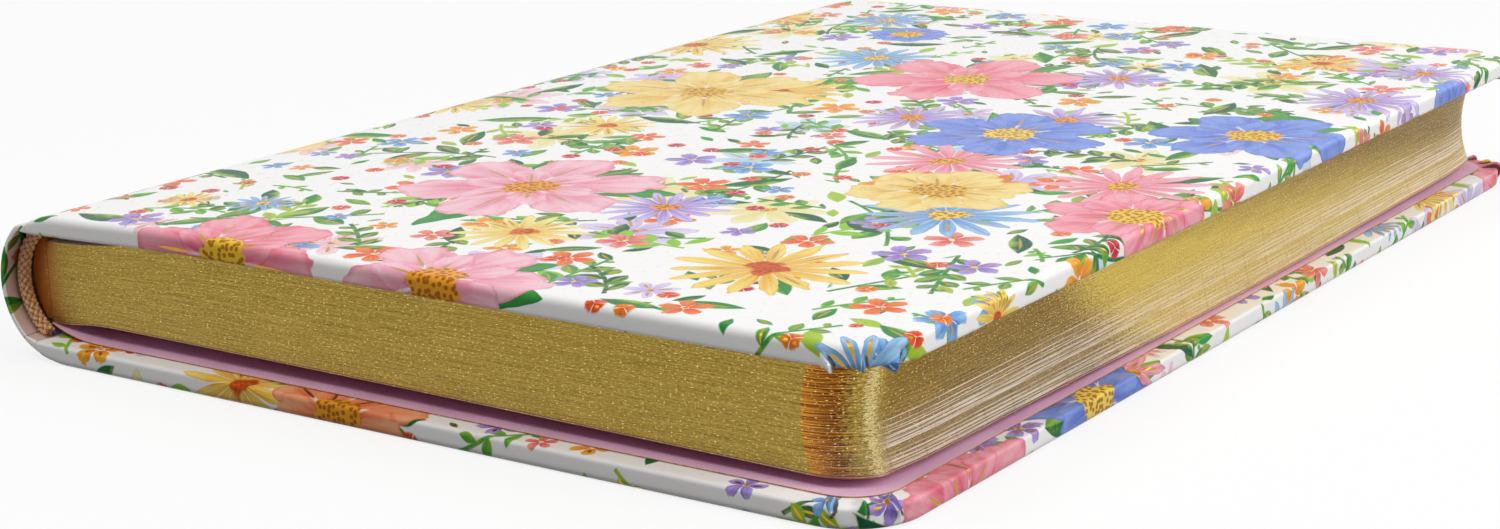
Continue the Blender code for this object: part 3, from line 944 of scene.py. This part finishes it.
def sprig(add, paper, under, spacing, seed, step, leaf, greens, left_out=0.0, slim=0.24):
    """Draws leafy stems over what is drawn already, with a foil rib on some leaves."""
    spot, away, dice, room, kept = scatter(add, paper, spacing, seed, left_out)
    ahead, off = leaf_axes(add, away, dice, 0.025)
    high = add("Math ABSOLUTE", off)
    count = add("Math MULTIPLY", ahead, 1.0 / step)
    count = add("Math MULTIPLY_ADD", add("Math SIGN", off), 0.25, count)
    along = add("Math MULTIPLY_ADD", add("Math FRACT", count), step, -0.15 * step)
    lean = math.radians(44.0)
    up = add("Math MULTIPLY", high, math.sin(lean))
    up = add("Math MULTIPLY_ADD", along, math.cos(lean), up)
    out = add("Math MULTIPLY", high, math.cos(lean))
    out = add("Math MULTIPLY_ADD", along, -math.sin(lean), out)
    reach = add("Math MULTIPLY", room, 0.92)
    taper = add("Math POWER", add("Math DIVIDE", ahead, reach), 4.0)
    taper = add("Math MULTIPLY_ADD", taper, -0.98, 1.0)
    size = add("Math MINIMUM", add("Math MULTIPLY", room, 0.6), leaf)
    size = add("Math MULTIPLY", size, add("Math MAXIMUM", taper, 0.02))
    grown = add("Math DIVIDE", up, size)
    offset = add("Math ABSOLUTE", out)
    stem = add("MapRange", high, 0.4, 0.22, 0.0, 1.0)
    mask = add("Math MAXIMUM", leaf_mask(add, grown, size, slim, offset), stem)
    ends = add("Math LESS_THAN", add("Math ABSOLUTE", ahead), reach)
    mask = add("Math MULTIPLY", add("Math MULTIPLY", mask, ends), kept)
    wash = add("TexNoise", spot, 0.35, 3.0, 0.6, noise_dimensions="2D")
    wash = add("Math MULTIPLY_ADD", add("Math GREATER_THAN", out, 0.0), 0.22, wash)
    ink = add("ValToRGB", dice["Blue"], stops=tints(greens), blending="CONSTANT")
    ink = add("Mix RGBA", add("MapRange", wash, 0.45, 0.9, 0.0, 0.7), ink, "#A9CC48")
    rib = foil_stroke(add, grown, 0.5, 0.36, offset, 0.22)
    rib = add("Math MULTIPLY", rib, add("Math GREATER_THAN", dice["Blue"], 0.5))
    return lay(add, under, mask, ink, rib)


def loose_leaves(add, paper, under, spacing, seed, size, slim, greens, left_out):
    """Draws single leaves over what is drawn already, lime along one side, with a foil rib on some."""
    spot, away, dice, room, kept = scatter(add, paper, spacing, seed, left_out)
    ahead, off = leaf_axes(add, away, dice, 0.25 / size)
    long = add("Math MINIMUM", add("Math MULTIPLY", room, 2.0), size)
    grown = add("Math ADD", add("Math DIVIDE", ahead, long), 0.5)
    offset = add("Math ABSOLUTE", off)
    mask = add("Math MULTIPLY", leaf_mask(add, grown, long, slim, offset), kept)
    wash = add("TexNoise", spot, 0.4, 3.0, 0.6, noise_dimensions="2D")
    wash = add("Math MULTIPLY_ADD", off, 0.35, wash)
    ink = add("ValToRGB", dice["Blue"], stops=tints(greens), blending="CONSTANT")
    ink = add("Mix RGBA", add("MapRange", wash, 0.55, 1.0, 0.0, 0.8), ink, "#B4D24C")
    rib = foil_stroke(add, grown, 0.5, 0.32, offset, 0.26)
    rib = add("Math MULTIPLY", rib, add("Math GREATER_THAN", dice["Green"], 0.7))
    return lay(add, under, mask, ink, rib)


def printed_paper():
    """Gloss-laminated printed paper: a scattered garden print on white with strokes of gold foil. The film
    makes it shiny and slightly uneven. Shade is painted into the crease of each fold at the gathered corners,
    and painted shade tinted pink lies on the turn-ins inside the rounded back."""
    made, add = surface("laminated_printed_paper")
    paper = add("VectorMath SCALE", add("UVMap", uv_map="paper"), PRINT_UNIT / MM)
    tooth = add("TexNoise", paper, 0.6, 3.0, 0.6, noise_dimensions="2D")
    under = (add("Mix RGBA", tooth, "#F9F8F7", "#FEFDFC"), 0.0)
    dark_greens = ["#1C6B30", "#2B8A38", "#2F7F3E", "#1F5E40"]
    light_greens = ["#55A63A", "#8CC63C", "#3F9C44", "#A8C93F"]
    eyes = ["#F3C93A", "#F5D85E", "#EFA52C", "#E9BC3C"]
    # pale washes far back, then leafy stems and loose leaves
    under = bloom(add, paper, under, spacing=23.0, seed=13, reach=11.0, petals=7, waist=0.35, blunt=1.6,
                  outer=["#D5E8F3", "#F8DDE3", "#E4DAF2", "#F6EFC4"],
                  inner=["#A5CDE8", "#F1B4C2", "#C4AEE3", "#EBDD8C"], eyes=eyes, left_out=0.45, eye=0.12)
    under = sprig(add, paper, under, spacing=30.0, seed=3, step=9.0, leaf=13.0, greens=dark_greens, slim=0.22)
    under = loose_leaves(add, paper, under, spacing=7.5, seed=10, size=7.0, slim=0.2,
                         greens=dark_greens + light_greens, left_out=0.3)
    under = sprig(add, paper, under, spacing=18.0, seed=5, step=4.2, leaf=5.6, greens=light_greens,
                  left_out=0.2)
    under = sprig(add, paper, under, spacing=21.0, seed=8, step=3.6, leaf=4.6, greens=dark_greens,
                  left_out=0.35, slim=0.28)
    under = loose_leaves(add, paper, under, spacing=15.0, seed=11, size=13.0, slim=0.16, greens=dark_greens,
                         left_out=0.45)
    # leaves that spread from under the large flowers, at the same places, small blossoms, berries and daisies
    large = {"spacing": 50.0, "seed": 4, "left_out": 0.15}
    under = bloom(add, paper, under, **large, reach=36.0, petals=7, waist=0.0, blunt=1.1, outer=light_greens,
                  inner=dark_greens, eyes=dark_greens, ragged=0.45, eye=-1.0, spin=0.3, stretch=1.3)
    under = bloom(add, paper, under, spacing=11.0, seed=2, reach=4.6, petals=5, waist=0.3, blunt=2.2,
                  outer=["#F58A4A", "#8FBDE8", "#F79C8C", "#F6B53C", "#B7A0E2"],
                  inner=["#E8441A", "#3F74C8", "#DF4450", "#EE7A18", "#7E63C0"],
                  eyes=["#FFF3C4", "#F7D95A", "#FFE9A8", "#FFF6DA", "#F7D95A"], left_out=0.42, eye=0.16)
    under = bloom(add, paper, under, spacing=7.0, seed=6, reach=1.7, petals=3, waist=0.9, blunt=1.0,
                  outer=["#F0622E", "#D9334A", "#F08A2A"], inner=["#C8341C", "#A81F38", "#D9591C"],
                  eyes=["#FBD9A8", "#F7B9B0", "#FBE3A8"], left_out=0.78, eye=0.1)
    under = bloom(add, paper, under, spacing=33.0, seed=18, reach=15.0, petals=15, waist=0.35, blunt=1.6,
                  outer=["#DCCBF0", "#FBEFA6", "#A9CFEC", "#FAE27E", "#F8BCC8"],
                  inner=["#8F6CC8", "#E9B92C", "#4F8FD2", "#E8A81C", "#E96F8C"],
                  eyes=["#F0A53A", "#E2702A", "#F5D34E", "#D9591C", "#F2B63C"], left_out=0.2, ragged=0.12)
    # the large flowers, in two rings of petals
    inks = {"outer": ["#F8AEBB", "#8AA2E8", "#F9B587", "#F9CBD6", "#F8E29A"],
            "inner": ["#E4486A", "#4A66C6", "#EE5A26", "#E8708F", "#E8B22A"], "eyes": eyes}
    for reach, waist, blunt, eye, spin in ((21.0, 0.5, 2.6, 0.1, 0.0), (12.0, 0.45, 2.2, 0.36, 0.5)):
        under = bloom(add, paper, under, **large, **inks, reach=reach, petals=6, waist=waist, blunt=blunt,
                      eye=eye, spin=spin)
    drawn, foil = under
    colour = add("Mix RGBA", foil, drawn, "#B98F2C")
    # painted shade in the crease of each fold at the gathered corners
    fold = add("Attribute", attribute_name="gather").outputs["Fac"]
    colour = add("Mix RGBA", add("MapRange", fold, 0.12, 0.45, 0.0, 0.9), colour, "#3A322F")
    # painted shade, tinted pink, on the turn-ins inside the rounded back
    stain = add("Attribute", attribute_name="stain").outputs["Fac"]
    colour = add("Mix RGBA", stain, colour, "#DCBCB2", blend_type="MULTIPLY")
    rough = add("MapRange", tooth, 0.3, 0.7, 0.27, 0.35)
    wave = add("TexNoise", paper, 0.15, 1.0, 0.5, noise_dimensions="2D")
    relief = add("Bump", 0.1, 0.1 * MM, None, wave)
    return coat(made, {"Base Color": colour, "Metallic": foil, "Roughness": rough, "Normal": relief,
                       "Specular IOR Level": 0.05})


garden_print = printed_paper()
for side in ("front", "back"):
    wrap = cover_paper(side + "_cover_wrap", side == "front", garden_print)
    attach(wrap, side + "_cover")
    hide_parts(side + "_cover_paper")
    sign = 1.0 if side == "front" else -1.0
    bend = round_paper(side + "_joint_wrap", sign * cover_turn, sign * spine_turn, JOINT_STEPS, garden_print)
    if side == "back":
        bend.data.flip_normals()
    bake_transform(bend)
back = round_paper("spine_wrap", spine_turn, -spine_turn, SPINE_STEPS, garden_print)
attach(back, "spine")
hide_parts("spine_cover_paper")

# Paste-downs: the endpapers' glued halves, covering the turn-ins and leaving a margin of print round them.
# Each leaves its board at the joint and rises to the block's fold; its cut edge kept a line of gold size.
PASTE_CORNER = 6.4 * MM
LIFT_FROM = -57.0 * MM  # the X at which the paper leaves its board
LIFT_CURVE = 1.9
LIFT_STEPS = 16
HINGE_DIP = 0.75 * MM
HINGE_SHORT = 1.2 * MM
HINGE_WIDER = 0.2 * MM
HINGE_GAP = 0.02 * MM


def sized_edge():
    """Cut paper edge stained by gold size: a thin dull brown gold line."""
    made, add = surface("gold_sized_paper_edge")
    patch = add("TexNoise", add("TexCoord").outputs["Object"], 0.8 / MM, 3.0, 0.6)
    colour = add("ValToRGB", patch, stops=[(0.35, "#8C5A2C"), (0.65, "#C79A5A")])
    return coat(made, {"Base Color": colour, "Roughness": 0.55})


edge_line = sized_edge()
for side in ("front", "back"):
    low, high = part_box(side + "_pastedown")
    fly_low, fly_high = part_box(side + "_flyleaf")
    end_x, end_z, warp = fly_low.x, fly_low.z - HINGE_GAP, flat
    if side == "front":
        end_x, end_z, warp = fly_low.x + HINGE_SHORT, low.z - HINGE_DIP, drawn_down
    rise = []
    for i in range(LIFT_STEPS + 1):
        share = 1.0 - i / LIFT_STEPS
        x = LIFT_FROM + (end_x - LIFT_FROM) * share
        z = low.z + (end_z - low.z) * share ** LIFT_CURVE
        rise.append((x, z, z + high.z - low.z, high.y + (fly_high.y + HINGE_WIDER - high.y) * share ** 2))
    sheet = cut_sheet(side + "_pastedown_sheet", low, high, PASTE_CORNER, rise, [endpaper, edge_line], warp)
    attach(sheet, side + "_cover")
    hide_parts(side + "_pastedown")

# Stage: a pale studio floor under soft lamps, mostly from above and from the right, seen from the
# photograph's viewpoint. Floor and sky look white, and the floor keeps the book's shadow.
FLOOR_HALF = 6.0
FLOOR_WHITE = 0.82
SKY_STRENGTH = 0.1
SENSOR = 36.0
LENS = 63.82
SHIFT_X = 0.0115
SHIFT_Y = 0.0030
NEAREST = 0.01
CAMERA_PLACE = (219.78 * MM, -343.08 * MM, 105.28 * MM)
YAW, PITCH, ROLL = math.radians(34.964), math.radians(14.686), math.radians(-1.317)


def seen(add):
    """Whether the camera, a reflection or a see-through piece is looking."""
    path = add("LightPath").outputs
    looking = add("Math MAXIMUM", path["Is Camera Ray"], path["Is Glossy Ray"])
    return add("Math MAXIMUM", looking, path["Is Transmission Ray"])


def matt_floor():
    """Matt white painted board: it looks even and white, and still takes the book's soft shadow."""
    made, add = surface("matt_white_floor")
    coat(made, {"Base Color": add("Mix RGBA", seen(add), "#8C8C8C", "#FAFAFA"), "Roughness": 0.9})
    nodes = made.node_tree.nodes
    share = add("Math MULTIPLY", seen(add), FLOOR_WHITE)
    mixed = add("MixShader", share, nodes["Principled BSDF"], add("Emission", "#FFFFFF", 1.0))
    feed(made.node_tree, nodes["Material Output"].inputs["Surface"], mixed)
    return made


corners = [(x * FLOOR_HALF, y * FLOOR_HALF, 0.0) for x, y in ((-1, -1), (1, -1), (1, 1), (-1, 1))]
floor = shape("floor", corners, [(0, 1, 2, 3)], [matt_floor()])
floor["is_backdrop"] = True

world = bpy.data.worlds.new("studio")
bpy.context.scene.world = world
world.use_nodes = True
add = functools.partial(node, world.node_tree)
sky = world.node_tree.nodes["Background"].inputs
feed(world.node_tree, sky["Color"], "#FFFFFF")
feed(world.node_tree, sky["Strength"], add("MapRange", seen(add), 0.0, 1.0, SKY_STRENGTH, 1.0))


def softbox(name, place, size, power):
    """A large soft lamp aimed at the book."""
    lamp = bpy.data.lights.new(name, "AREA")
    lamp.shape = "RECTANGLE"
    lamp.size, lamp.size_y = size
    lamp.energy = power
    made = bpy.data.objects.new(name, lamp)
    bpy.context.scene.collection.objects.link(made)
    made.location = place
    made.rotation_euler = (-Vector(place)).to_track_quat("-Z", "Y").to_euler()


softbox("overhead_softbox", (0.1, 0.2, 1.1), (1.2, 1.0), 2.8)
softbox("front_softbox", (-0.25, -0.68, 1.25), (0.9, 0.6), 8.5)
softbox("right_softbox", (1.1, 0.1, 0.7), (0.8, 0.8), 10.5)
softbox("back_softbox", (0.45, 1.3, 0.5), (0.6, 0.6), 3.0)

camera = bpy.data.objects.new("camera", bpy.data.cameras.new("camera"))
bpy.context.scene.collection.objects.link(camera)
camera.data.sensor_width = SENSOR
camera.data.lens = LENS
camera.data.shift_x = SHIFT_X
camera.data.shift_y = SHIFT_Y
camera.data.clip_start = NEAREST
level = Matrix.Rotation(YAW, 4, "Z") @ Matrix.Rotation(0.5 * math.pi - PITCH, 4, "X")
camera.matrix_world = Matrix.Translation(CAMERA_PLACE) @ (level @ Matrix.Rotation(ROLL, 4, "Z"))
bpy.context.scene.camera = camera
bpy.context.scene.view_settings.view_transform = "Standard"

low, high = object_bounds()
